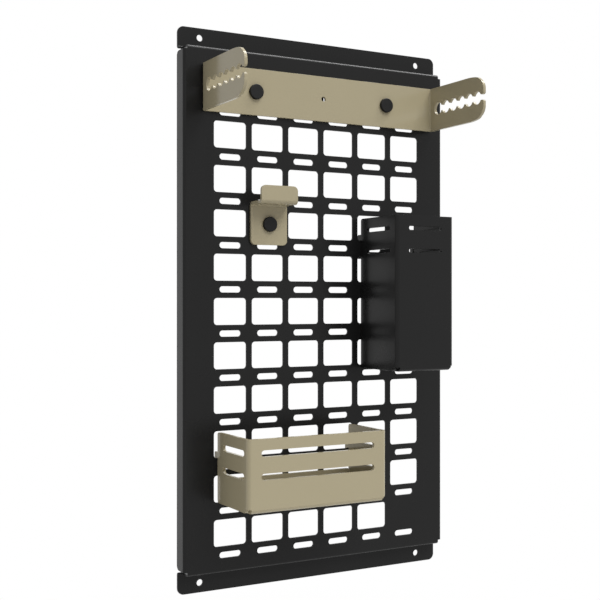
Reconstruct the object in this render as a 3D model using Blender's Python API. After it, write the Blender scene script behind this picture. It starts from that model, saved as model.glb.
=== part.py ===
"""Folded-steel wall panel with a grid of webbing windows, and what hangs on it.

A black panel is screwed flat to a wall by its top and bottom flanges. A bracket with two notched
arms and a single hook are clamped through its windows by knobs. A tall bin and an open tray hang
in the windows by hooks cut in their side walls, and lift off.

The origin is on the wall plane, on the back of the top flange, midway between its two holes.
+X points right, -Y out of the wall and +Z up. All lengths are in metres.
"""
from math import asin, cos, pi, sin, sqrt

import bmesh
import bpy
from mathutils import Vector
from mathutils.geometry import delaunay_2d_cdt

# Window grid of the panel
COLUMN_PITCH = 0.038
ROW_PITCH = 0.040
WINDOW_WIDTH = 0.0325
WINDOW_HEIGHT = 0.0243
WINDOW_CORNER_RADIUS = 0.003
SLOT_LENGTH = 0.0214
SLOT_HEIGHT = 0.0056
GRID_DROP = 0.001
SIDE_MARGIN = 0.0267
END_MARGIN = 0.017

# Panel body and its wall flanges
PANEL_SHEET = 0.002
PANEL_BEND_INSIDE = 0.001
PANEL_WIDTH = 0.2814
OVERALL_HEIGHT = 0.5117
PANEL_DEPTH = 0.016
WALL_FLANGE_REACH = 0.01885
SIDE_FLANGE_CUTBACK = 0.004
CORNER_RELIEF_WIDTH = 0.0041
SIDE_FLANGE_CORNER_RADIUS = 0.0045
WALL_FLANGE_CORNER_RADIUS = 0.006
WALL_HOLE_DIAMETER = 0.006
WALL_HOLE_FROM_SIDE = 0.0217
WALL_HOLE_FROM_END = 0.0088

# Sheet of the accessories, and the air left where two pieces meet
SHEET = 0.003
BEND_INSIDE = 0.001
SEAT_GAP = 0.0003

# Bracket with two notched arms
BRACKET_PAST_COLUMN = 0.0685
BRACKET_HEIGHT = 0.0425
BRACKET_SHIFT = 0.002
BRACKET_RAISE = 0.0006
BRACKET_HOLE_DIAMETER = 0.0046
ARM_CORNER_RADIUS = 0.016
NOTCHES = 6
NOTCH_DIAMETER = 0.0121
NOTCH_PITCH = 0.01225
NOTCH_CHANNEL = 0.0052
FIRST_NOTCH_REACH = 0.0161
LAST_NOTCH_TO_TIP = 0.00985
MOUTH_CORNER_RADIUS = 0.002

# Single hook
HOOK_WIDTH = 0.0372
HOOK_SHELF_REACH = 0.0243
HOOK_LIP_HEIGHT = 0.0165
HOOK_BELOW_STUD = 0.0191
HOOK_ABOVE_STUD = 0.0203
HOOK_CORNER_RADIUS = 0.0045

# Clamp fixings: a knob on a stud, with a plate, washer and nut behind the panel
KNOB_DIAMETER = 0.0138
KNOB_HEIGHT = 0.003
KNOB_EDGE_RADIUS = 0.0008
KNOB_SOCKET_DEPTH = 0.002
STUD_DIAMETER = 0.004
STUD_PASSING = 0.0012
STUD_END_CHAMFER = 0.0004
CLAMP_PLATE_WIDTH = 0.016
CLAMP_PLATE_OVERLAP = 0.0045
CLAMP_PLATE_THICKNESS = 0.003
CLAMP_PLATE_CORNER_RADIUS = 0.002
WASHER_DIAMETER = 0.009
WASHER_THICKNESS = 0.0008
NUT_ACROSS_FLATS = 0.007
NUT_HEIGHT = 0.0032

# Hanging hooks that the bin and the tray share
NECK_HEIGHT = 0.0055
TAIL_WIDTH = 0.0034
TAIL_GAP = 0.0006
TAIL_CORNER_RADIUS = 0.0015
CORNER_CLEARANCE = 0.00015

# Rims and slots that the bin and the tray share
BOX_DEPTH = 0.062
RIM_CORNER_RADIUS = 0.0025
FOOT_CORNER_RADIUS = 0.003
FOOT_LIFT = 0.0008
LIP_CORNER_RADIUS = 0.002
SIDE_SLOT_LENGTH = 0.041
SIDE_SLOT_FROM_WALL = 0.0095

# Tall bin
BIN_LEFT_PLAY = 0.0035
BIN_HEIGHT = 0.1448
BIN_NECK_BELOW_RIM = 0.0208
BIN_TAIL_DROP = 0.0178
BIN_LIP_HEIGHT = 0.022
BIN_SLOT_HEIGHT = 0.0037
BIN_SLOT_DEPTHS = (0.0117, 0.0328)
BIN_FRONT_SLOT_MARGIN = 0.014

# Open tray
TRAY_LEFT_PLAY = 0.0033
TRAY_HEIGHT = 0.0642
TRAY_NECK_BELOW_RIM = 0.0232
TRAY_TAIL_DROP = 0.0155
TRAY_LIP_HEIGHT = 0.022
TRAY_SLOT_HEIGHT = 0.0056
TRAY_SLOT_DEPTHS = (0.0127, 0.0328)
TRAY_FRONT_SLOT_MARGIN = 0.0132

# How finely round shapes are faceted
BEND_STEPS = 4
WINDOW_CORNER_STEPS = 3
CORNER_STEPS = 4
ARM_CORNER_STEPS = 6
SLOT_END_STEPS = 4
SCALLOP_STEPS = 6
HOLE_STEPS = 16
TURNED_STEPS = 32
SMOOTH_ANGLE = pi / 5
MERGE_TOLERANCE = 0.0000001

QUARTER = pi / 2
FACE_HEIGHT = OVERALL_HEIGHT - 2 * WALL_FLANGE_REACH
COLUMNS = round((PANEL_WIDTH - 2 * SIDE_MARGIN) / COLUMN_PITCH)
ROWS = round((FACE_HEIGHT - 2 * END_MARGIN) / ROW_PITCH)
WALL_HOLE_SPACING = PANEL_WIDTH - 2 * WALL_HOLE_FROM_SIDE
WALL_HOLE_RISE = OVERALL_HEIGHT - 2 * WALL_HOLE_FROM_END
FRONT_Y = -PANEL_DEPTH
MIDDLE_Z = -WALL_HOLE_RISE / 2
ARM_REACH = FIRST_NOTCH_REACH + (NOTCHES - 1) * NOTCH_PITCH + LAST_NOTCH_TO_TIP

# The windows that carry each piece, counted from the top left one
BRACKET_ROW = 0
BRACKET_COLUMNS = (1, COLUMNS - 2)
HOOK_ROW = 3
HOOK_COLUMN = 1
BIN_ROW = 3
BIN_COLUMNS = (COLUMNS - 2, COLUMNS - 1)
TRAY_ROW = ROWS - 3
TRAY_COLUMNS = (0, 3)


def column_x(column):
    """The middle of a column of windows, counted from the left."""
    return (column - (COLUMNS - 1) / 2) * COLUMN_PITCH


def row_z(row):
    """The middle of a row of windows, counted from the top."""
    return MIDDLE_Z - GRID_DROP + ((ROWS - 1) / 2 - row) * ROW_PITCH


# Outlines

def rounded(corners):
    """Turns (x, y, radius, steps) corners into an outline with an arc at each."""
    points = []
    for index, (x, y, radius, steps) in enumerate(corners):
        here = Vector((x, y))
        if radius == 0:
            points.append(here)
            continue
        before = (Vector(corners[index - 1][:2]) - here).normalized()
        after = (Vector(corners[(index + 1) % len(corners)][:2]) - here).normalized()
        half = before.angle(after) / 2
        centre = here + (before + after).normalized() * radius / sin(half)
        start = here + before * radius / (sin(half) / cos(half)) - centre
        end = here + after * radius / (sin(half) / cos(half)) - centre
        turn = start.angle(end)
        for step in range(steps + 1):
            share = step / steps
            arm = start * sin((1 - share) * turn) + end * sin(share * turn)
            points.append(centre + arm / sin(turn))
    return points


def rectangle(x, y, width, height, radius, steps):
    """A rectangle about (x, y) with rounded corners."""
    sides = ((-1, -1), (1, -1), (1, 1), (-1, 1))
    return rounded([(x + i * width / 2, y + j * height / 2, radius, steps) for i, j in sides])


def obround(x, y, length, height):
    """A slot about (x, y) with round ends, along X."""
    radius = height / 2
    reach = length / 2 - radius
    points = []
    for side in (1, -1):
        for step in range(SLOT_END_STEPS + 1):
            turn = -QUARTER + pi * step / SLOT_END_STEPS
            arm = Vector((reach + radius * cos(turn), radius * sin(turn)))
            points.append(Vector((x, y)) + side * arm)
    return points


def polygon(x, y, radius, steps):
    """A circle, or a polygon with few steps, about (x, y)."""
    turns = [2 * pi * step / steps for step in range(steps)]
    return [Vector((x + radius * cos(turn), y + radius * sin(turn))) for turn in turns]


# Sheet metal: a flat blank is triangulated, given its thickness, and folded

def inside(x, y, outline):
    """Whether an outline goes round a point."""
    found = False
    for index, end in enumerate(outline):
        start = outline[index - 1]
        if (start.y > y) != (end.y > y):
            if x < start.x + (end.x - start.x) * (y - start.y) / (end.y - start.y):
                found = not found
    return found


def flat_blank(outline, holes, creases):
    """The points and triangles of a flat blank, with an edge along every crease."""
    points = []
    edges = []
    for loop in [outline] + holes:
        first = len(points)
        points.extend(loop)
        edges.extend((first + index, first + (index + 1) % len(loop)) for index in range(len(loop)))
    for start, end in creases:
        edges.append((len(points), len(points) + 1))
        points.extend((Vector(start), Vector(end)))
    spots, _, triangles, _, _, _ = delaunay_2d_cdt(points, edges, [], 0, MERGE_TOLERANCE)
    boxes = []
    for loop in holes:
        low = Vector((min(p.x for p in loop), min(p.y for p in loop)))
        high = Vector((max(p.x for p in loop), max(p.y for p in loop)))
        boxes.append((low, high, loop))
    kept = []
    for triangle in triangles:
        x = sum(spots[index].x for index in triangle) / 3
        y = sum(spots[index].y for index in triangle) / 3
        near = [loop for low, high, loop in boxes if low.x < x < high.x and low.y < y < high.y]
        if inside(x, y, outline) and not any(inside(x, y, loop) for loop in near):
            kept.append(triangle)
    return spots, kept


def sheet_mesh(name, thickness, outline, holes, creases, fold):
    """Cuts a blank, gives it its thickness, and folds it with fold(across, along, off the middle)."""
    spots, triangles = flat_blank(outline, holes, creases)
    used = sorted({index for triangle in triangles for index in triangle})
    shape = bmesh.new()
    layers = []
    for off in (-thickness / 2, thickness / 2):
        layers.append({index: shape.verts.new(fold(spots[index].x, spots[index].y, off)) for index in used})
    sides = {}
    for triangle in triangles:
        shape.faces.new([layers[1][index] for index in triangle])
        shape.faces.new([layers[0][index] for index in reversed(triangle)])
        for index, start in enumerate(triangle):
            end = triangle[(index + 1) % len(triangle)]
            sides[(start, end)] = (end, start) not in sides
            if (end, start) in sides:
                sides[(end, start)] = False
    for (start, end), is_edge in sides.items():
        if is_edge:
            shape.faces.new((layers[1][end], layers[1][start], layers[0][start], layers[0][end]))
    return finished_mesh(name, shape)


def finished_mesh(name, shape):
    """Closes a bmesh into a mesh with outward faces and smooth bends."""
    bmesh.ops.recalc_face_normals(shape, faces=shape.faces)
    mesh = bpy.data.meshes.new(name)
    shape.to_mesh(mesh)
    shape.free()
    mesh.shade_smooth()
    mesh.set_sharp_from_angle(angle=SMOOTH_ANGLE)
    return mesh


def bent(distance, off, bends):
    """Where a point of a folded strip comes to lie.

    The strip sets out along the first axis. Each bend is (start, radius, way), measured on the
    middle of the sheet, and turns it a quarter towards the second axis if way is 1, or back if -1.
    """
    x = y = heading = done = 0.0
    for start, radius, way in bends:
        if distance <= start:
            break
        x += (start - done) * cos(heading)
        y += (start - done) * sin(heading)
        swept = min(distance - start, radius * QUARTER)
        turned = heading + way * swept / radius
        x += way * radius * (sin(turned) - sin(heading))
        y += way * radius * (cos(heading) - cos(turned))
        heading = turned
        done = start + swept
    x += (distance - done) * cos(heading)
    y += (distance - done) * sin(heading)
    return x - off * sin(heading), y + off * cos(heading)


def crease_places(start, radius):
    """The lines that facet one bend, measured on the flat blank."""
    return [start + radius * QUARTER * step / BEND_STEPS for step in range(BEND_STEPS + 1)]


def side_of(value):
    """Which side of the middle a length lies on, as 1 or -1."""
    return 1 if value >= 0 else -1


# Materials and objects

def material(name, colour, roughness, metallic):
    """A Principled BSDF finish."""
    made = bpy.data.materials.new(name)
    made.use_nodes = True
    shader = made.node_tree.nodes["Principled BSDF"]
    shader.inputs["Base Color"].default_value = (*colour, 1)
    shader.inputs["Roughness"].default_value = roughness
    shader.inputs["Metallic"].default_value = metallic
    return made


def place(name, mesh, finish, location):
    """Adds one named piece to the scene, with a material of its own."""
    mesh.materials.append(material(name + "_finish", *finish))
    piece = bpy.data.objects.new(name, mesh)
    piece.location = location
    bpy.context.scene.collection.objects.link(piece)
    return piece


BLACK_COAT = ((0.027, 0.027, 0.027), 0.5, 0.0)
TAN_COAT = ((0.39, 0.345, 0.235), 0.5, 0.0)
BLACK_NYLON = ((0.02, 0.02, 0.02), 0.45, 0.0)
ZINC_PLATE = ((0.6, 0.6, 0.58), 0.35, 1.0)


# Wall panel

def make_wall_panel():
    """One blank: a pierced face, two side flanges, and a stepped wall flange at top and bottom."""
    outer = PANEL_BEND_INSIDE + PANEL_SHEET
    middle = PANEL_BEND_INSIDE + PANEL_SHEET / 2
    arc = middle * QUARTER
    side_bend = PANEL_WIDTH / 2 - outer
    end_bend = FACE_HEIGHT / 2 - outer
    step_bend = end_bend + arc + PANEL_DEPTH - 2 * outer
    flange_start = FACE_HEIGHT / 2 - PANEL_SHEET / 2 + middle

    side_edge = side_bend + arc + PANEL_DEPTH - outer
    side_end = FACE_HEIGHT / 2 - SIDE_FLANGE_CUTBACK
    relief = PANEL_WIDTH / 2 - CORNER_RELIEF_WIDTH
    flange_end = step_bend + arc + OVERALL_HEIGHT / 2 - flange_start
    hole_height = step_bend + arc + WALL_HOLE_RISE / 2 - flange_start

    corner = ((side_edge, side_end, SIDE_FLANGE_CORNER_RADIUS, CORNER_STEPS),
              (relief, side_end, 0, 0),
              (relief, step_bend, 0, 0),
              (PANEL_WIDTH / 2, step_bend, 0, 0),
              (PANEL_WIDTH / 2, flange_end, WALL_FLANGE_CORNER_RADIUS, CORNER_STEPS))
    corners = []
    for i, j in ((1, 1), (-1, 1), (-1, -1), (1, -1)):
        turned = corner if i == j else reversed(corner)
        corners.extend((i * x, j * y, radius, steps) for x, y, radius, steps in turned)

    holes = []
    for row in range(ROWS + 1):
        for column in range(COLUMNS):
            web_z = row_z(row) + ROW_PITCH / 2 - MIDDLE_Z
            holes.append(obround(column_x(column), web_z, SLOT_LENGTH, SLOT_HEIGHT))
    for row in range(ROWS):
        for column in range(COLUMNS):
            if (row, column) != (ROWS - 1, COLUMNS - 1):
                holes.append(rectangle(column_x(column), row_z(row) - MIDDLE_Z, WINDOW_WIDTH,
                                       WINDOW_HEIGHT, WINDOW_CORNER_RADIUS, WINDOW_CORNER_STEPS))
    for i in (1, -1):
        for j in (1, -1):
            holes.append(polygon(i * WALL_HOLE_SPACING / 2, j * hole_height, WALL_HOLE_DIAMETER / 2,
                                 HOLE_STEPS))

    creases = []
    for side in (1, -1):
        for across in crease_places(side_bend, middle):
            creases.append(((side * across, -side_end), (side * across, side_end)))
        for along in crease_places(end_bend, middle):
            creases.append(((-relief, side * along), (relief, side * along)))
        for along in crease_places(step_bend, middle):
            creases.append(((-PANEL_WIDTH / 2, side * along), (PANEL_WIDTH / 2, side * along)))

    def fold(across, along, off):
        if abs(along) > end_bend + MERGE_TOLERANCE:
            bends = ((end_bend, middle, 1), (step_bend, middle, -1))
            up, back = bent(abs(along), off, bends)
            return across, back + PANEL_SHEET / 2, side_of(along) * up
        out, back = bent(abs(across), off, ((side_bend, middle, 1),))
        return side_of(across) * out, back + PANEL_SHEET / 2, along

    mesh = sheet_mesh("wall_panel", PANEL_SHEET, rounded(corners), holes, creases, fold)
    place("wall_panel", mesh, BLACK_COAT, (0, FRONT_Y, MIDDLE_Z))


# Bracket with notched arms

def stud_places():
    """Where the three studs pass the panel: the bracket's two at the far sides of their windows."""
    reach = WINDOW_WIDTH / 2 - STUD_DIAMETER / 2 - SEAT_GAP
    left, right = BRACKET_COLUMNS
    height = row_z(BRACKET_ROW) + BRACKET_RAISE
    return {"left_bracket": (column_x(left) - reach, height),
            "right_bracket": (column_x(right) + reach, height),
            "hook": (column_x(HOOK_COLUMN), row_z(HOOK_ROW))}


def notched_edge(tip, first):
    """An arm's open slot as outline corners, in at the mouth's upper side and out at its lower one."""
    lift = NOTCH_CHANNEL / 2
    radius = NOTCH_DIAMETER / 2
    dip = asin(lift / radius)
    corners = [(tip, lift, MOUTH_CORNER_RADIUS, WINDOW_CORNER_STEPS)]
    visits = [(notch, dip, pi - dip) for notch in range(NOTCHES - 1, 0, -1)]
    visits.append((0, dip, 2 * pi - dip))
    visits.extend((notch, pi + dip, 2 * pi - dip) for notch in range(1, NOTCHES))
    for notch, start, end in visits:
        steps = SCALLOP_STEPS * (2 if notch == 0 else 1)
        for step in range(steps + 1):
            turn = start + (end - start) * step / steps
            corners.append((first + notch * NOTCH_PITCH + radius * cos(turn), radius * sin(turn), 0, 0))
    corners.append((tip, -lift, MOUTH_CORNER_RADIUS, WINDOW_CORNER_STEPS))
    return corners


def make_bracket():
    """A wide strip whose two ends are folded forward into arms with a row of round notches."""
    outer = BEND_INSIDE + SHEET
    middle = BEND_INSIDE + SHEET / 2
    left, right = BRACKET_COLUMNS
    width = column_x(right) - column_x(left) + 2 * BRACKET_PAST_COLUMN
    bend = width / 2 - outer
    arm = bend + middle * QUARTER - outer
    tip = arm + ARM_REACH

    half = [(tip, BRACKET_HEIGHT / 2, ARM_CORNER_RADIUS, ARM_CORNER_STEPS)]
    half.extend(notched_edge(tip, arm + FIRST_NOTCH_REACH))
    half.append((tip, -BRACKET_HEIGHT / 2, ARM_CORNER_RADIUS, ARM_CORNER_STEPS))
    mirrored = [(-x, y, radius, steps) for x, y, radius, steps in reversed(half)]

    studs = stud_places()
    holes = [polygon(0, 0, BRACKET_HOLE_DIAMETER / 2, HOLE_STEPS)]
    for fixing in ("left_bracket", "right_bracket"):
        stud_x = studs[fixing][0] - BRACKET_SHIFT
        holes.append(polygon(stud_x, 0, STUD_DIAMETER / 2 + SEAT_GAP, HOLE_STEPS))

    creases = []
    for side in (1, -1):
        for across in crease_places(bend, middle):
            creases.append(((side * across, -BRACKET_HEIGHT / 2), (side * across, BRACKET_HEIGHT / 2)))

    def fold(across, along, off):
        out, front = bent(abs(across), off, ((bend, middle, 1),))
        return side_of(across) * out, -front - SHEET / 2, along

    mesh = sheet_mesh("arm_bracket", SHEET, rounded(half + mirrored), holes, creases, fold)
    height = row_z(BRACKET_ROW) + BRACKET_RAISE
    place("arm_bracket", mesh, TAN_COAT, (BRACKET_SHIFT, FRONT_Y - SEAT_GAP, height))


# Single hook

def make_hook():
    """A narrow strip: a plate on the panel, a shelf forward from its top, and an upright lip."""
    outer = BEND_INSIDE + SHEET
    middle = BEND_INSIDE + SHEET / 2
    arc = middle * QUARTER
    first = HOOK_ABOVE_STUD - outer
    second = first + arc + HOOK_SHELF_REACH - 2 * outer
    end = second + arc + HOOK_LIP_HEIGHT - outer

    centre = (end - HOOK_BELOW_STUD) / 2
    outline = rectangle(0, centre, HOOK_WIDTH, end + HOOK_BELOW_STUD, HOOK_CORNER_RADIUS, CORNER_STEPS)
    holes = [polygon(0, 0, STUD_DIAMETER / 2 + SEAT_GAP, HOLE_STEPS)]
    creases = []
    for along in crease_places(first, middle) + crease_places(second, middle):
        creases.append(((-HOOK_WIDTH / 2, along), (HOOK_WIDTH / 2, along)))

    def fold(across, along, off):
        up, front = bent(along, off, ((first, middle, 1), (second, middle, -1)))
        return across, -front - SHEET / 2, up

    mesh = sheet_mesh("hook", SHEET, outline, holes, creases, fold)
    place("hook", mesh, TAN_COAT, (column_x(HOOK_COLUMN), FRONT_Y - SEAT_GAP, row_z(HOOK_ROW)))


# Bin and tray

def corner_play():
    """How far a hook keeps from a window's side, so that it clears the rounded corner it rests by."""
    reach = WINDOW_CORNER_RADIUS - CORNER_CLEARANCE
    drop = WINDOW_CORNER_RADIUS - SEAT_GAP
    return WINDOW_CORNER_RADIUS - sqrt(reach ** 2 - drop ** 2)


def make_hanging_box(name, finish, columns, row, left_play, height, neck_below_rim, tail_drop,
                     lip_height, slot_height, slot_depths, front_slot_margin):
    """One blank: a front, two side walls with hanging hooks, and a floor that ends in a back lip.

    On the flat blank the rim is at zero, and what lies behind the front is measured from the
    front's outer face, so that walls and floor come to their true depth once they are folded.
    """
    outer = BEND_INSIDE + SHEET
    middle = BEND_INSIDE + SHEET / 2
    arc = middle * QUARTER
    left = column_x(columns[0]) - WINDOW_WIDTH / 2 + left_play
    right = column_x(columns[1]) + WINDOW_WIDTH / 2 - corner_play()
    width = right - left
    depth = BOX_DEPTH - SEAT_GAP
    side_bend = width / 2 - outer
    wall = side_bend + arc - outer
    floor_bend = height - outer
    floor = floor_bend + arc - outer
    lip_bend = floor + depth - outer
    lip_end = lip_bend + arc + lip_height - outer

    neck_top = NECK_HEIGHT - neck_below_rim
    tail_front = wall + depth + SEAT_GAP + PANEL_SHEET + TAIL_GAP
    tail_back = tail_front + TAIL_WIDTH
    tail_end = -neck_below_rim - tail_drop
    foot = FOOT_LIFT - height
    half = [(wall + depth, 0, RIM_CORNER_RADIUS, CORNER_STEPS),
            (wall + depth, neck_top, 0, 0),
            (tail_back, neck_top, TAIL_CORNER_RADIUS, CORNER_STEPS),
            (tail_back, tail_end, TAIL_CORNER_RADIUS, CORNER_STEPS),
            (tail_front, tail_end, TAIL_CORNER_RADIUS, CORNER_STEPS),
            (tail_front, -neck_below_rim, 0, 0),
            (wall + depth, -neck_below_rim, 0, 0),
            (wall + depth, foot, FOOT_CORNER_RADIUS, CORNER_STEPS),
            (wall + outer, foot, FOOT_CORNER_RADIUS, CORNER_STEPS),
            (wall + outer, outer - height, 0, 0),
            (side_bend, outer - height, 0, 0),
            (side_bend, -lip_end, LIP_CORNER_RADIUS, CORNER_STEPS)]
    mirrored = [(-x, y, radius, steps) for x, y, radius, steps in reversed(half)]

    holes = []
    side_slot = wall + BOX_DEPTH - SIDE_SLOT_FROM_WALL - SIDE_SLOT_LENGTH / 2
    for slot_depth in slot_depths:
        holes.append(obround(0, -slot_depth, width - 2 * front_slot_margin, slot_height))
        for side in (1, -1):
            holes.append(obround(side * side_slot, -slot_depth, SIDE_SLOT_LENGTH, slot_height))

    creases = []
    for along in crease_places(floor_bend, middle) + crease_places(lip_bend, middle):
        creases.append(((-side_bend, -along), (side_bend, -along)))
    for side in (1, -1):
        for across in crease_places(side_bend, middle):
            creases.append(((side * across, 0), (side * across, outer - height)))

    def fold(across, along, off):
        if -along > floor_bend + MERGE_TOLERANCE and abs(across) < side_bend + arc / 2:
            bends = ((floor_bend, middle, 1), (lip_bend, middle, 1))
            down, back = bent(-along, off, bends)
            return across, back + SHEET / 2, -down
        out, back = bent(abs(across), off, ((side_bend, middle, 1),))
        return side_of(across) * out, back + SHEET / 2, along

    mesh = sheet_mesh(name, SHEET, rounded(half + mirrored), holes, creases, fold)
    rest = row_z(row) - WINDOW_HEIGHT / 2 + SEAT_GAP
    place(name, mesh, finish, ((left + right) / 2, FRONT_Y - BOX_DEPTH, rest + neck_below_rim))


# Clamp fixings

def turned(name, profile):
    """Spins a profile of (radius, along) points about the Y axis."""
    shape = bmesh.new()
    spots = [shape.verts.new((radius, along, 0)) for radius, along in profile]
    edges = [shape.edges.new(pair) for pair in zip(spots, spots[1:])]
    bmesh.ops.spin(shape, geom=spots + edges, cent=(0, 0, 0), axis=(0, 1, 0), angle=2 * pi,
                   steps=TURNED_STEPS, use_merge=True)
    bmesh.ops.remove_doubles(shape, verts=shape.verts, dist=MERGE_TOLERANCE)
    return finished_mesh(name, shape)


def rounded_profile(corners):
    """Rounds the corners of a profile that starts and ends on the axis."""
    return [(max(point.x, 0), point.y) for point in rounded(corners)]


def pierced_plate(name, outline, hole_radius, thickness):
    """A flat piece with one hole, upright, with its middle on the origin."""
    holes = [polygon(0, 0, hole_radius, HOLE_STEPS)]
    return sheet_mesh(name, thickness, outline, holes, [], lambda across, along, off: (across, off, along))


def make_fixing(name, x, z, sheet_in_front):
    """A knob on a stud that clamps a sheet to the panel against a plate, a washer and a nut."""
    sheet_front = FRONT_Y - SEAT_GAP - sheet_in_front
    knob_back = sheet_front - SEAT_GAP
    knob_front = knob_back - KNOB_HEIGHT
    radius = KNOB_DIAMETER / 2
    socket = STUD_DIAMETER / 2 + SEAT_GAP
    knob = rounded_profile([(0, -KNOB_HEIGHT, 0, 0),
                            (radius, -KNOB_HEIGHT, KNOB_EDGE_RADIUS, CORNER_STEPS),
                            (radius, 0, 0, 0),
                            (socket, 0, 0, 0),
                            (socket, -KNOB_SOCKET_DEPTH, 0, 0),
                            (0, -KNOB_SOCKET_DEPTH, 0, 0)])
    place(name + "_knob", turned(name + "_knob", knob), BLACK_NYLON, (x, knob_back, z))

    plate_front = FRONT_Y + PANEL_SHEET + SEAT_GAP
    washer_front = plate_front + CLAMP_PLATE_THICKNESS + SEAT_GAP
    nut_front = washer_front + WASHER_THICKNESS + SEAT_GAP
    stud_front = knob_back - KNOB_SOCKET_DEPTH + SEAT_GAP
    stud_length = nut_front + NUT_HEIGHT + STUD_PASSING - stud_front
    stud_radius = STUD_DIAMETER / 2
    stud = [(0, 0), (stud_radius, 0), (stud_radius, stud_length - STUD_END_CHAMFER),
            (stud_radius - STUD_END_CHAMFER, stud_length), (0, stud_length)]
    place(name + "_stud", turned(name + "_stud", stud), ZINC_PLATE, (x, stud_front, z))

    clamp_height = WINDOW_HEIGHT + 2 * CLAMP_PLATE_OVERLAP
    clamp = rectangle(0, 0, CLAMP_PLATE_WIDTH, clamp_height, CLAMP_PLATE_CORNER_RADIUS, CORNER_STEPS)
    clamp_mesh = pierced_plate(name + "_clamp_plate", clamp, socket, CLAMP_PLATE_THICKNESS)
    place(name + "_clamp_plate", clamp_mesh, ZINC_PLATE, (x, plate_front + CLAMP_PLATE_THICKNESS / 2, z))

    ring = polygon(0, 0, WASHER_DIAMETER / 2, TURNED_STEPS)
    washer_mesh = pierced_plate(name + "_washer", ring, socket, WASHER_THICKNESS)
    place(name + "_washer", washer_mesh, ZINC_PLATE, (x, washer_front + WASHER_THICKNESS / 2, z))

    hexagon = polygon(0, 0, NUT_ACROSS_FLATS / sqrt(3), 6)
    nut_mesh = pierced_plate(name + "_nut", hexagon, socket, NUT_HEIGHT)
    place(name + "_nut", nut_mesh, ZINC_PLATE, (x, nut_front + NUT_HEIGHT / 2, z))


for old in list(bpy.data.objects):
    bpy.data.objects.remove(old)

make_wall_panel()
make_bracket()
make_hook()
make_hanging_box("bin", BLACK_COAT, BIN_COLUMNS, BIN_ROW, BIN_LEFT_PLAY, BIN_HEIGHT,
                 BIN_NECK_BELOW_RIM, BIN_TAIL_DROP, BIN_LIP_HEIGHT, BIN_SLOT_HEIGHT, BIN_SLOT_DEPTHS,
                 BIN_FRONT_SLOT_MARGIN)
make_hanging_box("tray", TAN_COAT, TRAY_COLUMNS, TRAY_ROW, TRAY_LEFT_PLAY, TRAY_HEIGHT,
                 TRAY_NECK_BELOW_RIM, TRAY_TAIL_DROP, TRAY_LIP_HEIGHT, TRAY_SLOT_HEIGHT, TRAY_SLOT_DEPTHS,
                 TRAY_FRONT_SLOT_MARGIN)
for fixing, (stud_x, stud_z) in stud_places().items():
    make_fixing(fixing, stud_x, stud_z, SHEET)
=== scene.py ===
"""The folded-steel wall panel with its bracket, hook, bin and tray, dressed for rendering."""
from math import cos, pi, radians, sin, tan

import bpy
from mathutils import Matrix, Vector


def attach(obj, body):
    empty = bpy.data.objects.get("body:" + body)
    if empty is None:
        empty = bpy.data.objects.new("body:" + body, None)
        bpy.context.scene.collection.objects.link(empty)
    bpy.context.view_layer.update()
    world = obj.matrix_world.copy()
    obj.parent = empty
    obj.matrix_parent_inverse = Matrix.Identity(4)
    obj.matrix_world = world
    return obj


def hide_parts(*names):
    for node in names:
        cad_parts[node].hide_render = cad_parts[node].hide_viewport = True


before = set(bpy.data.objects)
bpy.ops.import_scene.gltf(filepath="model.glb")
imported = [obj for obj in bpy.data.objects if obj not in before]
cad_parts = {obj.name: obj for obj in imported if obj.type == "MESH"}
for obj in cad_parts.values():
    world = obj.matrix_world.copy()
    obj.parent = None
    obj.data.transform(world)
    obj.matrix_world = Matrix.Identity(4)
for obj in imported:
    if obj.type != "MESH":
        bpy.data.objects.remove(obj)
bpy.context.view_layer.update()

# Wall panel. The real one is a single laser-cut blank of 2 mm steel, its grid of windows and
# slots cut first, then bent on a press brake: a flange down each side, and at each end a step
# back to the wall with a flange for two screws. It is powder-coated black after bending.

PANEL_SHEET = 0.002
PANEL_BEND = 0.002
PANEL_WIDTH = 0.2814
PANEL_DEPTH = 0.016
FACE_HEIGHT = 0.474
OVERALL_HEIGHT = 0.5117
SCREW_SPACING = (0.238, 0.4941)
SCREW_HOLE = 0.006
PANEL_MIDDLE = -SCREW_SPACING[1] / 2
COLUMNS, COLUMN_PITCH = 6, 0.038
ROWS, ROW_PITCH = 11, 0.040
GRID_DROP = 0.001
WINDOW = (0.0325, 0.0243)
WINDOW_CORNER = 0.003
SLOT = (0.0214, 0.0056)
SIDE_CUTBACK = 0.004
RELIEF = 0.0041
SIDE_FLANGE_CORNER, WALL_FLANGE_CORNER = 0.0045, 0.006
EDGE_ROUNDING = 0.00025
BEND_STEPS = 8
DRILL_LENGTH, DRILL_SIDES = 0.2, 48
# How far a cutter reaches past the sheet, then how close a spot has to be to count as picked.
OVERRUN = 0.01
NEAR = 0.001
TOUCHING = 0.0001
SLIVER, WELD = 0.00001, 0.000001
FACING = 0.9
SMOOTH, SHARP = radians(35), radians(40)


def only(piece):
    """Leaves one piece selected and active."""
    bpy.ops.object.select_all(action="DESELECT")
    piece.select_set(True)
    bpy.context.view_layer.objects.active = piece


def finish_with(piece, kind, **settings):
    """Adds a modifier and applies it."""
    only(piece)
    modifier = piece.modifiers.new(kind, kind)
    for setting, value in settings.items():
        setattr(modifier, setting, value)
    bpy.ops.object.modifier_apply(modifier=modifier.name)


def block(name, low, high):
    """A block between its lowest and its highest corner."""
    bpy.ops.object.select_all(action="DESELECT")
    middle = [(a + b) / 2 for a, b in zip(low, high)]
    bpy.ops.mesh.primitive_cube_add(size=1, location=middle, scale=[b - a for a, b in zip(low, high)])
    bpy.ops.object.transform_apply(location=True, rotation=True, scale=True)
    piece = bpy.context.object
    piece.name = name
    return piece


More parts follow.
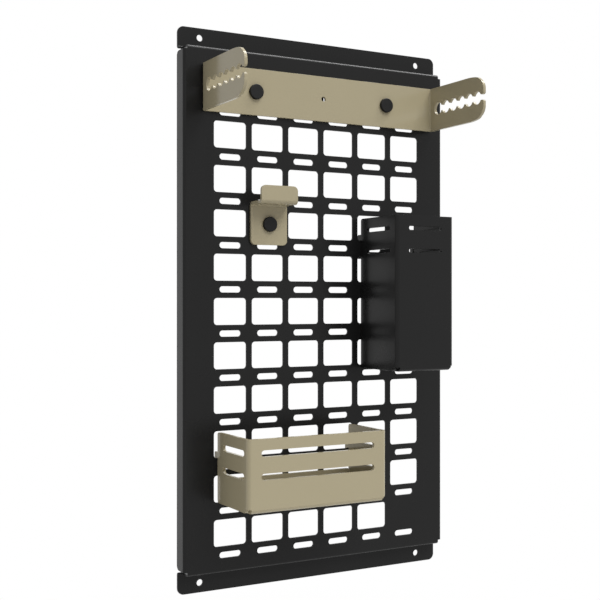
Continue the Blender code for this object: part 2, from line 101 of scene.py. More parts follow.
def pick(piece, part, test):
    """Enters edit mode with the vertices, edges or faces selected whose middle passes a test."""
    only(piece)
    mesh = piece.data
    for group in (mesh.vertices, mesh.edges, mesh.polygons):
        group.foreach_set("select", [False] * len(group))
    if part == "VERT":
        mesh.vertices.foreach_set("select", [test(vertex.co) for vertex in mesh.vertices])
    elif part == "EDGE":
        for edge in mesh.edges:
            start, end = (mesh.vertices[index].co for index in edge.vertices)
            edge.select = test((start + end) / 2, end - start)
    else:
        for face in mesh.polygons:
            face.select = test(face.center, face.normal)
    bpy.context.scene.tool_settings.mesh_select_mode = [part == kind for kind in ("VERT", "EDGE", "FACE")]
    bpy.ops.object.mode_set(mode="EDIT")


def round_corners(piece, radius, steps, test):
    """Rounds the upright corners of a blank that lies across Y."""
    pick(piece, "EDGE", lambda middle, run: abs(run.y) > FACING * run.length and test(middle))
    bpy.ops.mesh.bevel(offset=radius, segments=steps, affect="EDGES")
    bpy.ops.object.mode_set(mode="OBJECT")


def cut(piece, cutter):
    """Cuts one closed shape out of another and takes it away."""
    finish_with(piece, "BOOLEAN", object=cutter, operation="DIFFERENCE", solver="EXACT")
    bpy.data.objects.remove(cutter)


def drill(piece, x, z, diameter):
    """Drills a round hole through a blank that lies across Y."""
    bpy.ops.object.select_all(action="DESELECT")
    bpy.ops.mesh.primitive_cylinder_add(vertices=DRILL_SIDES, radius=diameter / 2, depth=DRILL_LENGTH,
                                        location=(x, 0, z), rotation=(pi / 2, 0, 0))
    cut(piece, bpy.context.object)


def score(piece, axis, places):
    """Puts an edge right round a blank at each bend line."""
    only(piece)
    bpy.ops.object.mode_set(mode="EDIT")
    for place in places:
        bpy.ops.mesh.select_all(action="SELECT")
        bpy.ops.mesh.bisect(plane_co=[place if i == axis else 0 for i in range(3)],
                            plane_no=[i == axis for i in range(3)])
    bpy.ops.object.mode_set(mode="OBJECT")


def bend_lines(start, radius):
    """The lines of one bend of a quarter turn, on the flat blank."""
    return [start + radius * pi / 2 * (step + 0.5) / BEND_STEPS for step in range(BEND_STEPS)]


def fold(piece, flat, axis, side, lines, middle, turn, reach=None):
    """Folds what lies past the bend lines a quarter turn: towards the wall, or away where turn is -1."""
    only(piece)
    bpy.context.scene.tool_settings.mesh_select_mode = (True, False, False)
    for line in reversed(lines):
        pivot = [0, middle, 0]
        pivot[axis] = side * line
        past = [side * spot[axis] > line + WELD and (reach is None or reach(spot)) for spot in flat]
        mesh = piece.data
        mesh.polygons.foreach_set("select", [False] * len(mesh.polygons))
        mesh.edges.foreach_set("select", [False] * len(mesh.edges))
        mesh.vertices.foreach_set("select", past)
        bpy.ops.object.mode_set(mode="EDIT")
        share = pi / 2 / len(lines)
        bpy.ops.transform.rotate(value=side * turn * (-share if axis == 0 else share),
                                 orient_axis="Z" if axis == 0 else "X", orient_type="GLOBAL",
                                 center_override=pivot)
        bpy.ops.object.mode_set(mode="OBJECT")


def hang(piece, place, body, replaced):
    """Puts a finished sheet in its place, with smooth bends and flat flats, for a piece of the frame."""
    piece.location = place
    only(piece)
    bpy.ops.object.transform_apply(location=True, rotation=True, scale=True)
    bpy.ops.object.shade_smooth_by_angle(angle=SMOOTH)
    finish_with(piece, "WEIGHTED_NORMAL", keep_sharp=True, weight=100)
    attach(piece, body)
    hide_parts(replaced)


def linear(code):
    """An sRGB hex colour as the linear values that a shader takes."""
    parts = [int(code[index:index + 2], 16) / 255 for index in (1, 3, 5)]
    return [*(part / 12.92 if part <= 0.04045 else ((part + 0.055) / 1.055) ** 2.4 for part in parts), 1]


def node(tree, kind, inputs, **settings):
    """Adds a node with its settings. An input is a value or another node's output."""
    made = tree.nodes.new("ShaderNode" + kind)
    for setting, value in settings.items():
        setattr(made, setting, value)
    for name, value in inputs.items():
        if isinstance(value, bpy.types.NodeSocket):
            tree.links.new(value, made.inputs[name])
        else:
            made.inputs[name].default_value = value
    return made


# Powder coat: dry polyester powder, baked on. It melts into a fine orange-peel skin, satin and
# slightly uneven in gloss, which softens every highlight. The real peel is about 0.7 mm across;
# it is drawn at 1.6 mm, because finer than that it can't be seen in the picture.

PEEL, PEEL_HEIGHT, PEEL_STRENGTH = 0.0016, 0.00004, 0.25
CLOUD = 0.06
GLOSS_SPREAD = 0.04


def powder_coat(name, colour, deep, roughness, shine):
    """A baked powder coat in one colour, with a deeper tone where the powder lies thick."""
    made = bpy.data.materials.new(name)
    made.use_nodes = True
    tree = made.node_tree
    shader = tree.nodes["Principled BSDF"]
    place = node(tree, "TexCoord", {}).outputs["Object"]
    peel = node(tree, "TexNoise", {"Vector": place, "Scale": 1 / PEEL, "Detail": 2.0, "Roughness": 0.5})
    cloud = node(tree, "TexNoise", {"Vector": place, "Scale": 1 / CLOUD, "Detail": 3.0})
    gloss = node(tree, "MapRange", {"Value": cloud.outputs["Fac"], "From Min": 0.3, "From Max": 0.7,
                                    "To Min": roughness - GLOSS_SPREAD, "To Max": roughness + GLOSS_SPREAD})
    tone = node(tree, "Mix", {"Factor": cloud.outputs["Fac"], "A": linear(colour), "B": linear(deep)},
                data_type="RGBA")
    bump = node(tree, "Bump", {"Height": peel.outputs["Fac"], "Strength": PEEL_STRENGTH,
                               "Distance": PEEL_HEIGHT})
    tree.links.new(tone.outputs["Result"], shader.inputs["Base Color"])
    tree.links.new(gloss.outputs["Result"], shader.inputs["Roughness"])
    tree.links.new(bump.outputs["Normal"], shader.inputs["Normal"])
    shader.inputs["Specular IOR Level"].default_value = shine
    return made


BLACK, BLACK_DEEP = "#1d1d1d", "#191919"
black_coat = powder_coat("black powder-coated steel", BLACK, BLACK_DEEP, roughness=0.28, shine=0.17)

arc = PANEL_BEND * pi / 2
outer = PANEL_BEND + PANEL_SHEET / 2
side_bend = PANEL_WIDTH / 2 - outer
side_edge = side_bend + arc + PANEL_DEPTH - outer
side_end = FACE_HEIGHT / 2 - SIDE_CUTBACK
end_bend = FACE_HEIGHT / 2 - outer
step_bend = end_bend + arc + PANEL_DEPTH - 2 * outer
spare = step_bend + arc - (FACE_HEIGHT / 2 - PANEL_SHEET / 2 + PANEL_BEND)
flange_end = spare + OVERALL_HEIGHT / 2
front = -PANEL_DEPTH
sheet_middle = front + PANEL_SHEET / 2

panel = block("panel_sheet", (-side_edge, front, -flange_end), (side_edge, front + PANEL_SHEET, flange_end))
for i in (-1, 1):
    for j in (-1, 1):
        x_far, z_far = i * (side_edge + OVERRUN), j * (flange_end + OVERRUN)
        for near_x, near_z, far_z in ((i * (PANEL_WIDTH / 2 - RELIEF), j * side_end, j * step_bend),
                                      (i * PANEL_WIDTH / 2, j * side_end, z_far)):
            cut(panel, block("relief",
                             (min(near_x, x_far), front - OVERRUN, min(near_z, far_z)),
                             (max(near_x, x_far), front + OVERRUN, max(near_z, far_z))))
round_corners(panel, SIDE_FLANGE_CORNER, steps=8, test=lambda at: abs(at.x) > side_edge - NEAR)
round_corners(panel, WALL_FLANGE_CORNER, steps=10, test=lambda at: abs(at.z) > flange_end - NEAR)

windows = block("windows", (-WINDOW[0] / 2, front - OVERRUN, -WINDOW[1] / 2),
                (WINDOW[0] / 2, front + OVERRUN, WINDOW[1] / 2))
round_corners(windows, WINDOW_CORNER, steps=6, test=lambda at: True)
for count, step in ((COLUMNS, (COLUMN_PITCH, 0, 0)), (ROWS, (0, 0, -ROW_PITCH))):
    finish_with(windows, "ARRAY", count=count, use_relative_offset=False, use_constant_offset=True,
                constant_offset_displace=step)
last = ((COLUMNS - 1.5) * COLUMN_PITCH, -(ROWS - 1.5) * ROW_PITCH)
pick(windows, "VERT", lambda at: at.x > last[0] and at.z < last[1])
bpy.ops.mesh.delete(type="VERT")
bpy.ops.object.mode_set(mode="OBJECT")
windows.location = (-(COLUMNS - 1) / 2 * COLUMN_PITCH, 0, (ROWS - 1) / 2 * ROW_PITCH - GRID_DROP)
cut(panel, windows)

slots = block("slots", (-SLOT[0] / 2, front - OVERRUN, -SLOT[1] / 2),
              (SLOT[0] / 2, front + OVERRUN, SLOT[1] / 2))
round_corners(slots, SLOT[1] / 2 - SLIVER, steps=8, test=lambda at: True)
for count, step in ((COLUMNS, (COLUMN_PITCH, 0, 0)), (ROWS + 1, (0, 0, -ROW_PITCH))):
    finish_with(slots, "ARRAY", count=count, use_relative_offset=False, use_constant_offset=True,
                constant_offset_displace=step)
slots.location = (-(COLUMNS - 1) / 2 * COLUMN_PITCH, 0, ROWS / 2 * ROW_PITCH - GRID_DROP)
cut(panel, slots)

for i in (-1, 1):
    for j in (-1, 1):
        drill(panel, i * SCREW_SPACING[0] / 2, j * (spare + SCREW_SPACING[1] / 2), SCREW_HOLE)

finish_with(panel, "BEVEL", width=EDGE_ROUNDING, segments=2, limit_method="ANGLE", angle_limit=SHARP)

side_lines = bend_lines(side_bend, PANEL_BEND)
end_lines = bend_lines(end_bend, PANEL_BEND)
step_lines = bend_lines(step_bend, PANEL_BEND)
for side in (-1, 1):
    score(panel, 0, [side * line for line in side_lines])
    score(panel, 2, [side * line for line in end_lines + step_lines])
flat = [vertex.co.copy() for vertex in panel.data.vertices]
for side in (-1, 1):
    fold(panel, flat, 2, side, step_lines, sheet_middle, -1)
    fold(panel, flat, 2, side, end_lines, sheet_middle, 1)
    fold(panel, flat, 0, side, side_lines, sheet_middle, 1, lambda spot: abs(spot.z) < side_end + TOUCHING)
hang(panel, (0, 0, PANEL_MIDDLE), "panel", "wall_panel")
panel.data.materials.append(black_coat)

# Bracket. The real one is a strip of 3 mm steel, laser-cut with six round notches along an open
# slot at each end, folded forward at both ends into arms, and powder-coated desert tan. Screwdrivers
# and other shanks drop into the notches. Two knobs clamp it through the top row of windows.

SHEET = 0.003
SHEET_BEND = 0.0025
SHEET_OUTER = SHEET_BEND + SHEET / 2
SHEET_ARC = SHEET_BEND * pi / 2
SEAT = 0.0003
BRACKET_SIZE = (0.251, 0.0425)
BRACKET_PLACE = (0.002, -0.04745)
STUDS = {"left_bracket": (-0.07095, -0.04745), "right_bracket": (0.07095, -0.04745),
         "hook": (-0.057, -0.16805)}
STUD_HOLE = 0.0046
MIDDLE_HOLE_SHIFT = -0.0011
ARM_REACH = 0.0872
ARM_CHAMFER = (0.011, 0.008)
CHAMFER_CORNER, TIP_CORNER = 0.015, 0.005
NOTCHES, NOTCH_PITCH, NOTCH = 6, 0.01225, 0.0121
FIRST_NOTCH = 0.0161
CHANNEL = 0.0052
MOUTH_CORNER = 0.002
SHEET_ROUNDING = 0.0003

TAN, TAN_DEEP = "#aca286", "#a89e82"
tan_coat = powder_coat("tan powder-coated steel", TAN, TAN_DEEP, roughness=0.16, shine=0.28)

arm_bend = BRACKET_SIZE[0] / 2 - SHEET_OUTER
arm_start = arm_bend + SHEET_ARC - SHEET_OUTER
tip = arm_start + ARM_REACH
half_height = BRACKET_SIZE[1] / 2
bracket = block("bracket_sheet", (-tip, -SHEET, -half_height), (tip, 0, half_height))
for side in (-1, 1):
    for notch in range(NOTCHES):
        drill(bracket, side * (arm_start + FIRST_NOTCH + notch * NOTCH_PITCH), 0, NOTCH)
    ends = sorted((side * (arm_start + FIRST_NOTCH), side * (tip + OVERRUN)))
    cut(bracket, block("channel", (ends[0], -OVERRUN, -CHANNEL / 2), (ends[1], OVERRUN, CHANNEL / 2)))
drill(bracket, MIDDLE_HOLE_SHIFT, 0, STUD_HOLE)
for stud in ("left_bracket", "right_bracket"):
    drill(bracket, STUDS[stud][0] - BRACKET_PLACE[0], 0, STUD_HOLE)
shoulder, nose = tip - ARM_CHAMFER[0], half_height - ARM_CHAMFER[1]
for i in (-1, 1):
    for j in (-1, 1):
        slope = Vector((i * ARM_CHAMFER[1], 0, j * ARM_CHAMFER[0])).normalized()
        pick(bracket, "FACE", lambda at, way: True)
        bpy.ops.mesh.bisect(plane_co=(i * shoulder, 0, j * half_height), plane_no=slope, use_fill=True,
                            clear_outer=True)
        bpy.ops.object.mode_set(mode="OBJECT")
round_corners(bracket, MOUTH_CORNER, steps=4, test=lambda at: abs(at.x) > tip - NEAR and abs(at.z) < CHANNEL)
round_corners(bracket, TIP_CORNER, steps=8, test=lambda at: abs(at.x) > tip - NEAR
              and abs(abs(at.z) - nose) < TOUCHING)
round_corners(bracket, CHAMFER_CORNER, steps=8, test=lambda at: abs(abs(at.x) - shoulder) < TOUCHING
              and abs(at.z) > half_height - TOUCHING)
finish_with(bracket, "BEVEL", width=SHEET_ROUNDING, segments=2, limit_method="ANGLE",
            angle_limit=SHARP)
arm_lines = bend_lines(arm_bend, SHEET_BEND)
for side in (-1, 1):
    score(bracket, 0, [side * line for line in arm_lines])
flat = [vertex.co.copy() for vertex in bracket.data.vertices]
for side in (-1, 1):
    fold(bracket, flat, 0, side, arm_lines, -SHEET / 2, -1)
hang(bracket, (BRACKET_PLACE[0], front - SEAT, BRACKET_PLACE[1]), "panel", "arm_bracket")
bracket.data.materials.append(tan_coat)

# Hook. The real one is a short strip of the same tan-coated steel, bent twice: its plate is
# clamped to the panel by a knob, a shelf comes forward from its top, and a lip stands up from it.

HOOK_WIDTH = 0.0372
SHELF_REACH = 0.0243
HOOK_LIP = 0.0165
HOOK_BELOW, HOOK_ABOVE = 0.0191, 0.0203
HOOK_CORNER = 0.0045

shelf_bend = HOOK_ABOVE - SHEET_OUTER
lip_bend = shelf_bend + SHEET_ARC + SHELF_REACH - 2 * SHEET_OUTER
hook_end = lip_bend + SHEET_ARC + HOOK_LIP - SHEET_OUTER
hook = block("hook_sheet", (-HOOK_WIDTH / 2, -SHEET, -HOOK_BELOW), (HOOK_WIDTH / 2, 0, hook_end))
round_corners(hook, HOOK_CORNER, steps=10, test=lambda at: True)
drill(hook, 0, 0, STUD_HOLE)
finish_with(hook, "BEVEL", width=SHEET_ROUNDING, segments=2, limit_method="ANGLE", angle_limit=SHARP)
shelf_lines = bend_lines(shelf_bend, SHEET_BEND)
lip_lines = bend_lines(lip_bend, SHEET_BEND)
score(hook, 2, shelf_lines + lip_lines)
flat = [vertex.co.copy() for vertex in hook.data.vertices]
fold(hook, flat, 2, 1, lip_lines, -SHEET / 2, 1)
fold(hook, flat, 2, 1, shelf_lines, -SHEET / 2, -1)
hang(hook, (STUDS["hook"][0], front - SEAT, STUDS["hook"][1]), "panel", "hook")
hook.data.materials.append(tan_coat)

# Bin. The real one is one blank of 3 mm steel: a front, two side walls with a hanging hook cut at
# the back of each, and a floor that ends in a low back lip. Folded up, coated black, it hangs by
# its hooks in two windows and lifts off. Its corners stay open where the folds meet.

BOX_DEPTH = 0.062
NECK = 0.0055
TAIL_WIDTH = 0.0034
TAIL_GAP = 0.0006
RIM_CORNER, FOOT_CORNER, LIP_CORNER, TAIL_CORNER = 0.0025, 0.003, 0.002, 0.0015
FOOT_LIFT = 0.0008
BACK_LIP = 0.022
SIDE_SLOT_FROM_WALL = 0.011


def pull(piece, test, move):
    """Extrudes the faces that pass a test."""
    pick(piece, "FACE", test)
    bpy.ops.mesh.extrude_region_move(TRANSFORM_OT_translate={"value": move})
    bpy.ops.object.mode_set(mode="OBJECT")


def hanging_box(name, width, height, neck_below, tail_drop, slot_height, slot_depths, front_margin,
                side_slot):
    """Cuts and folds the blank of the bin or the tray, with its rim at zero and its front at Y = 0."""
    side_bend = width / 2 - SHEET_OUTER
    wall = side_bend + SHEET_ARC - SHEET_OUTER
    back = wall + BOX_DEPTH - SEAT
    floor_bend = height - SHEET_OUTER
    lip_bend = floor_bend + SHEET_ARC + BOX_DEPTH - SEAT - 2 * SHEET_OUTER
    lip_end = lip_bend + SHEET_ARC + BACK_LIP - SHEET_OUTER
    tail_front = back + SEAT + PANEL_SHEET + TAIL_GAP
    tail_back = tail_front + TAIL_WIDTH
    foot = FOOT_LIFT - height

    box = block(name, (-back, 0, -floor_bend), (back, SHEET, 0))
    for side in (-1, 1):
        score(box, 0, [side * side_bend, side * (wall + SHEET_OUTER)])
    score(box, 2, [NECK - neck_below, -neck_below])
    pull(box, lambda at, way: way.z < -FACING and abs(at.x) > wall + SHEET_OUTER, (0, 0, foot + floor_bend))
    pull(box, lambda at, way: way.z < -FACING and abs(at.x) < side_bend, (0, 0, floor_bend - lip_end))
    for side in (-1, 1):
        pull(box, lambda at, way: way.x * side > FACING and abs(at.x) > back - NEAR
             and -neck_below < at.z < NECK - neck_below, (side * (tail_back - back), 0, 0))
        score(box, 0, [side * tail_front])
    pull(box, lambda at, way: way.z < -FACING and abs(at.x) > tail_front, (0, 0, -tail_drop))
    pick(box, "FACE", lambda at, way: True)
    bpy.ops.mesh.remove_doubles(threshold=WELD)
    bpy.ops.mesh.dissolve_limited(angle_limit=radians(1))
    bpy.ops.object.mode_set(mode="OBJECT")

    round_corners(box, RIM_CORNER, steps=6, test=lambda at: at.z > -NEAR)
    round_corners(box, TAIL_CORNER, steps=5, test=lambda at: abs(at.x) > tail_back - TOUCHING
                  or abs(at.x) > back + NEAR and at.z < -neck_below - tail_drop / 2)
    round_corners(box, FOOT_CORNER, steps=6, test=lambda at: at.z < foot + TOUCHING
                  and abs(at.x) > side_bend + NEAR)
    round_corners(box, LIP_CORNER, steps=6, test=lambda at: at.z < -lip_end + TOUCHING)

    middle_of_side = wall + BOX_DEPTH - SIDE_SLOT_FROM_WALL - side_slot / 2
    for depth in slot_depths:
        for x, length in ((0, width - 2 * front_margin), (middle_of_side, side_slot),
                          (-middle_of_side, side_slot)):
            slot = block("slot", (x - length / 2, -OVERRUN, -depth - slot_height / 2),
                         (x + length / 2, OVERRUN, -depth + slot_height / 2))
            round_corners(slot, slot_height / 2 - SLIVER, steps=10, test=lambda at: True)
            cut(box, slot)
    finish_with(box, "BEVEL", width=SHEET_ROUNDING, segments=2, limit_method="ANGLE",
                angle_limit=SHARP)

    side_lines = bend_lines(side_bend, SHEET_BEND)
    floor_lines = bend_lines(floor_bend, SHEET_BEND)
    lip_lines = bend_lines(lip_bend, SHEET_BEND)
    for side in (-1, 1):
        score(box, 0, [side * line for line in side_lines])
    score(box, 2, [-line for line in floor_lines + lip_lines])
    flat = [vertex.co.copy() for vertex in box.data.vertices]
    within = lambda spot: abs(spot.x) < side_bend + TOUCHING
    fold(box, flat, 2, -1, lip_lines, SHEET / 2, 1, within)
    fold(box, flat, 2, -1, floor_lines, SHEET / 2, 1, within)
    for side in (-1, 1):
        fold(box, flat, 0, side, side_lines, SHEET / 2, 1)
    return box


BIN_SIDES = (0.04425, 0.109162)
BIN_RIM = -0.1591
bin_box = hanging_box("bin_sheet", BIN_SIDES[1] - BIN_SIDES[0], height=0.1448, neck_below=0.0208,
                      tail_drop=0.0178, slot_height=0.0037, slot_depths=(0.0117, 0.0328),
                      front_margin=0.014, side_slot=0.040)
hang(bin_box, (sum(BIN_SIDES) / 2, front - BOX_DEPTH, BIN_RIM), "bin", "bin")
bin_box.data.materials.append(black_coat)

# Tray. The real one is folded from one blank in the same way as the bin, low and four windows
# wide, and coated desert tan. It hangs in the first and the fourth window of its row.

TRAY_SIDES = (-0.10795, 0.033162)
TRAY_RIM = -0.3567
tray = hanging_box("tray_sheet", TRAY_SIDES[1] - TRAY_SIDES[0], height=0.0642, neck_below=0.0232,
                   tail_drop=0.0155, slot_height=0.0056, slot_depths=(0.0127, 0.0328),
                   front_margin=0.0132, side_slot=0.044)
hang(tray, (sum(TRAY_SIDES) / 2, front - BOX_DEPTH, TRAY_RIM), "tray", "tray")
tray.data.materials.append(tan_coat)

# Knobs. The real ones are smooth discs moulded in black nylon, with a rounded rim and a blind
# socket behind for the stud. They are turned by hand, and clamp the bracket and the hook.

KNOB = 0.0138
KNOB_THICKNESS = 0.003
KNOB_RIM = 0.0008
SOCKET = 0.0046
SOCKET_DEPTH = 0.002


def disc(name, sides, diameter, thickness, back):
    """A disc across Y, centred on a stud's axis, that comes forward from its back."""
    bpy.ops.object.select_all(action="DESELECT")
    bpy.ops.mesh.primitive_cylinder_add(vertices=sides, radius=diameter / 2, depth=thickness,
                                        location=(0, back - thickness / 2, 0), rotation=(pi / 2, 0, 0))
    bpy.ops.object.transform_apply(location=True, rotation=True, scale=True)
    bpy.context.object.name = name
    return bpy.context.object


def fit_all(first, kind, body, material):
    """Copies a piece to all three studs, then takes the first one away."""
    for stud, (x, z) in STUDS.items():
        only(first)
        bpy.ops.object.duplicate(linked=False)
        fitted = bpy.context.object
        fitted.name = f"{stud}_{first.name}"
        hang(fitted, (x, 0, z), body or f"{stud}_screw", f"{stud}_{kind}")
        fitted.data.materials.append(material)
    bpy.data.objects.remove(first)


# Moulded nylon: black, with the fine matt grain of a spark-eroded mould, which gives a broad and
# dull shine. The real grain is about 0.1 mm; it is drawn at 0.5 mm so that it shows.

NYLON, NYLON_DEEP = "#121212", "#0e0e0e"
GRAIN, GRAIN_HEIGHT, GRAIN_STRENGTH = 0.0005, 0.00003, 0.4
nylon = bpy.data.materials.new("moulded black nylon")
nylon.use_nodes = True
tree = nylon.node_tree
shader = tree.nodes["Principled BSDF"]
place = node(tree, "TexCoord", {}).outputs["Object"]
grain = node(tree, "TexNoise", {"Vector": place, "Scale": 1 / GRAIN, "Detail": 2.0})
tone = node(tree, "Mix", {"Factor": grain.outputs["Fac"], "A": linear(NYLON), "B": linear(NYLON_DEEP)},
            data_type="RGBA")
bump = node(tree, "Bump", {"Height": grain.outputs["Fac"], "Strength": GRAIN_STRENGTH,
                           "Distance": GRAIN_HEIGHT})
tree.links.new(tone.outputs["Result"], shader.inputs["Base Color"])
tree.links.new(bump.outputs["Normal"], shader.inputs["Normal"])
shader.inputs["Roughness"].default_value = 0.5
shader.inputs["IOR"].default_value = 1.53
shader.inputs["Specular IOR Level"].default_value = 0.2

knob_back = front - 2 * SEAT - SHEET
knob = disc("moulded_disc", 64, KNOB, KNOB_THICKNESS, knob_back)
pick(knob, "EDGE", lambda middle, run: abs(run.y) < WELD and middle.y < knob_back - KNOB_THICKNESS / 2)
bpy.ops.mesh.bevel(offset=KNOB_RIM, segments=6, affect="EDGES")
bpy.ops.object.mode_set(mode="OBJECT")
pick(knob, "FACE", lambda at, way: way.y > FACING)
bpy.ops.mesh.inset(thickness=(KNOB - SOCKET) / 2)
bpy.ops.mesh.extrude_region_move(TRANSFORM_OT_translate={"value": (0, -SOCKET_DEPTH, 0)})
bpy.ops.object.mode_set(mode="OBJECT")
fit_all(knob, "knob", None, nylon)

# Studs. The real ones are M4 threaded rod, cut to length, zinc-plated and moulded into the knobs.
# Each goes through the sheet, a window, a clamp plate, a washer and a nut behind the panel.

STUD = 0.004
THREAD_PITCH = 0.0007
THREAD_DEPTH = 0.0003
THREAD_STEPS = 32
STUD_PAST_NUT = 0.0012
CLAMP_PLATE = (0.016, 0.003, 0.0333)
WASHER, WASHER_THICKNESS = 0.009, 0.0008
NUT_FLATS, NUT_THICKNESS = 0.007, 0.0032
clamp_back = front + PANEL_SHEET + SEAT + CLAMP_PLATE[1]
washer_back = clamp_back + SEAT + WASHER_THICKNESS
nut_back = washer_back + SEAT + NUT_THICKNESS

# Zinc plate: bright electroplated zinc with a clear passivate over steel. It gives a cool white
# shine, a little clouded where the crystals of the plating differ.

ZINC, ZINC_DEEP = "#c8ccd1", "#b4b9c0"
CRYSTAL, CRYSTAL_HEIGHT, CRYSTAL_STRENGTH = 0.0015, 0.00002, 0.2
zinc = bpy.data.materials.new("bright zinc-plated steel")
zinc.use_nodes = True
tree = zinc.node_tree
shader = tree.nodes["Principled BSDF"]
place = node(tree, "TexCoord", {}).outputs["Object"]
crystals = node(tree, "TexNoise", {"Vector": place, "Scale": 1 / CRYSTAL, "Detail": 4.0,
                                    "Roughness": 0.6})
tone = node(tree, "Mix", {"Factor": crystals.outputs["Fac"], "A": linear(ZINC), "B": linear(ZINC_DEEP)},
            data_type="RGBA")
gloss = node(tree, "MapRange", {"Value": crystals.outputs["Fac"], "To Min": 0.22, "To Max": 0.42})
bump = node(tree, "Bump", {"Height": crystals.outputs["Fac"], "Strength": CRYSTAL_STRENGTH,
                           "Distance": CRYSTAL_HEIGHT})
tree.links.new(tone.outputs["Result"], shader.inputs["Base Color"])
tree.links.new(gloss.outputs["Result"], shader.inputs["Roughness"])
tree.links.new(bump.outputs["Normal"], shader.inputs["Normal"])
shader.inputs["Metallic"].default_value = 1.0

stud_front = knob_back - SOCKET_DEPTH + SEAT
stud_back = nut_back + STUD_PAST_NUT
bpy.ops.object.select_all(action="DESELECT")
bpy.ops.mesh.primitive_plane_add(size=2 ** 0.5, rotation=(0, 0, pi / 4))
stud = bpy.context.object
stud.name = "threaded_rod"
bpy.ops.object.transform_apply(location=True, rotation=True, scale=True)
pick(stud, "VERT", lambda at: at.x < -0.5)
bpy.ops.mesh.delete(type="VERT")
bpy.ops.object.mode_set(mode="OBJECT")
stud.scale = (THREAD_DEPTH, THREAD_PITCH / 2, 1)
stud.location = (STUD / 2 - THREAD_DEPTH, stud_front - THREAD_PITCH, 0)
bpy.ops.object.transform_apply(location=True, rotation=True, scale=True)
finish_with(stud, "SCREW", axis="Y", angle=2 * pi, screw_offset=THREAD_PITCH, steps=THREAD_STEPS,
            render_steps=THREAD_STEPS, iterations=round((stud_back - stud_front) / THREAD_PITCH) + 3)
pick(stud, "VERT", lambda at: True)
bpy.ops.mesh.remove_doubles(threshold=WELD)
bpy.ops.mesh.bisect(plane_co=(0, stud_front, 0), plane_no=(0, 1, 0), use_fill=True, clear_inner=True)
bpy.ops.mesh.select_all(action="SELECT")
bpy.ops.mesh.bisect(plane_co=(0, stud_back, 0), plane_no=(0, 1, 0), use_fill=True, clear_outer=True)
bpy.ops.mesh.select_all(action="SELECT")
bpy.ops.mesh.normals_make_consistent(inside=False)
bpy.ops.object.mode_set(mode="OBJECT")
fit_all(stud, "stud", None, zinc)

# Clamp plates. The real ones are cut from 3 mm flat bar and zinc-plated. Each spans the back of
# one window, and draws the bars above and below it against the sheet in front.

CLAMP_CORNER = 0.002
CLAMP_ROUNDING = 0.0004

clamp_plate = block("flat_plate", (-CLAMP_PLATE[0] / 2, clamp_back - CLAMP_PLATE[1], -CLAMP_PLATE[2] / 2),
                    (CLAMP_PLATE[0] / 2, clamp_back, CLAMP_PLATE[2] / 2))
round_corners(clamp_plate, CLAMP_CORNER, steps=6, test=lambda at: True)
drill(clamp_plate, 0, 0, STUD_HOLE)
finish_with(clamp_plate, "BEVEL", width=CLAMP_ROUNDING, segments=3, limit_method="ANGLE",
            angle_limit=SHARP)
fit_all(clamp_plate, "clamp_plate", "panel", zinc)

# Washers. The real ones are stamped M4 washers, with an edge rounded by the punch.

WASHER_ROUNDING = 0.00015

washer = disc("stamped_ring", 64, WASHER, WASHER_THICKNESS, washer_back)
drill(washer, 0, 0, STUD_HOLE)
finish_with(washer, "BEVEL", width=WASHER_ROUNDING, segments=2, limit_method="ANGLE",
            angle_limit=SHARP)
fit_all(washer, "washer", "panel", zinc)

# Nuts. The real ones are M4 hexagon nuts, cold-formed, with both faces turned to a chamfer that
# leaves a curved line on each flat.

NUT_THREAD = 0.0042
nut_corners = NUT_FLATS / cos(pi / 6)
nut_chamfer = (nut_corners - NUT_FLATS) / 2 * tan(pi / 6)

nut = disc("hexagon", 6, nut_corners, NUT_THICKNESS, nut_back)
nut.rotation_euler = (0, pi / 6, 0)
bpy.ops.object.transform_apply(location=True, rotation=True, scale=True)
barrel = disc("barrel", 64, nut_corners + SEAT, NUT_THICKNESS - 2 * nut_chamfer, nut_back - nut_chamfer)
pick(barrel, "FACE", lambda at, way: abs(way.y) > FACING)
bpy.ops.mesh.inset(thickness=(nut_corners + SEAT - NUT_FLATS) / 2, depth=nut_chamfer)
bpy.ops.object.mode_set(mode="OBJECT")
finish_with(nut, "BOOLEAN", object=barrel, operation="INTERSECT", solver="EXACT")
bpy.data.objects.remove(barrel)
drill(nut, 0, 0, NUT_THREAD)
fit_all(nut, "nut", "panel", zinc)

# Studio. The object hangs over a pale floor, in front of white. A large soft lamp stands high and
# in front, and another overhead, which draws a bright line along each bend. Camera, mirror and
# clear rays see white, the rest a plain level.

FLOOR, FLOOR_SIZE = -0.8, 3
FLOOR_COLOUR = "#dadada"
FADE_FROM, FADE_TO, WHITE_UNDER_OBJECT = 0.4, 1.1, 0.7
SKY = 0.36
LAMP_DISTANCE = 10
# Each lamp's turn to the right and rise above level, in degrees, then its width and its watts.
LAMPS = {"front lamp": (10, 46, 6.6, 540), "overhead lamp": (78, 62, 5.2, 760)}


def seen_directly(tree):
    """Whether a ray comes from the camera, a reflection or a clear piece."""
    path = node(tree, "LightPath", {}).outputs
    pair = node(tree, "Math", {0: path["Is Camera Ray"], 1: path["Is Glossy Ray"]}, operation="ADD")
    return node(tree, "Math", {0: pair.outputs[0], 1: path["Is Transmission Ray"]}, operation="ADD",
                use_clamp=True).outputs[0]


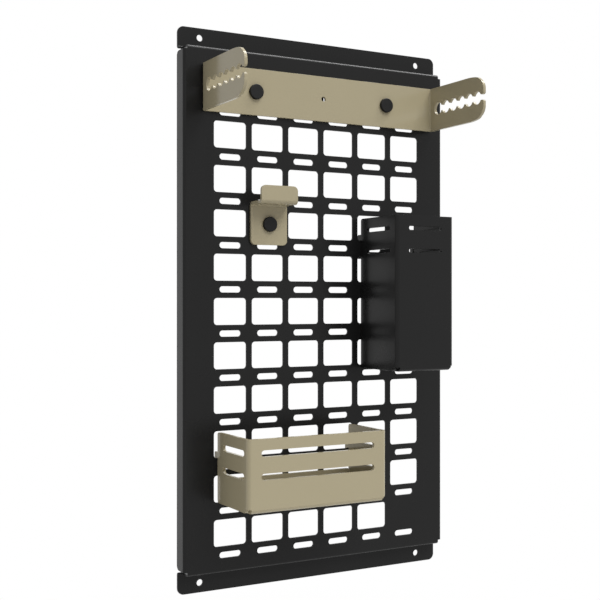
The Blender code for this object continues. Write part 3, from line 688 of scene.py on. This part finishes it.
bpy.ops.object.select_all(action="DESELECT")
bpy.ops.mesh.primitive_plane_add(size=FLOOR_SIZE, location=(0, 0, FLOOR))
bpy.ops.object.transform_apply(location=True, rotation=True, scale=True)
floor = bpy.context.object
floor.name = "floor"
paint = bpy.data.materials.new("pale floor paint")
paint.use_nodes = True
tree = paint.node_tree
tree.nodes.remove(tree.nodes["Principled BSDF"])
matt = node(tree, "BsdfDiffuse", {"Color": linear(FLOOR_COLOUR)})
white = node(tree, "Emission", {"Strength": 1.0})
place = node(tree, "TexCoord", {}).outputs["Object"]
away = node(tree, "VectorMath", {0: place, 1: (0, 0, FLOOR)}, operation="DISTANCE")
fade = node(tree, "MapRange", {"Value": away.outputs["Value"], "From Min": FADE_FROM, "From Max": FADE_TO,
                               "To Min": WHITE_UNDER_OBJECT})
share = node(tree, "Math", {0: seen_directly(tree), 1: fade.outputs["Result"]}, operation="MULTIPLY")
mix = node(tree, "MixShader", {0: share.outputs[0], 1: matt.outputs[0], 2: white.outputs[0]})
tree.links.new(mix.outputs[0], tree.nodes["Material Output"].inputs["Surface"])
floor.data.materials.append(paint)

world = bpy.data.worlds.new("studio")
bpy.context.scene.world = world
world.use_nodes = True
tree = world.node_tree
tree.nodes.remove(tree.nodes["Background"])
shown = node(tree, "Background", {"Color": (1, 1, 1, 1), "Strength": 1.0})
soft = node(tree, "Background", {"Color": (1, 1, 1, 1), "Strength": SKY})
mix = node(tree, "MixShader", {0: seen_directly(tree), 1: soft.outputs[0], 2: shown.outputs[0]})
tree.links.new(mix.outputs[0], tree.nodes["World Output"].inputs["Surface"])

for name, (turn, rise, size, watts) in LAMPS.items():
    turn, rise = radians(turn), radians(rise)
    towards = Vector((sin(turn) * cos(rise), -cos(turn) * cos(rise), sin(rise)))
    bpy.ops.object.light_add(type="AREA", location=Vector((0, 0, PANEL_MIDDLE)) + LAMP_DISTANCE * towards)
    lamp = bpy.context.object
    lamp.name = name
    lamp.data.shape = "DISK"
    lamp.data.size = size
    lamp.data.energy = watts
    lamp.rotation_euler = towards.to_track_quat("Z", "Y").to_euler()

# Camera. It stands level with the panel's middle, to its left.

camera_data = bpy.data.cameras.new("camera")
camera_data.lens = 64.15
camera_data.sensor_width = 36
camera_data.shift_x = 0.0001
camera_data.shift_y = 0.00057
camera = bpy.data.objects.new("camera", camera_data)
camera.location = (-0.5086, -0.8946, -0.23798)
camera.rotation_euler = (pi / 2, 0, radians(-28.93))
bpy.context.scene.collection.objects.link(camera)
bpy.context.scene.camera = camera
bpy.context.scene.view_settings.view_transform = "Standard"
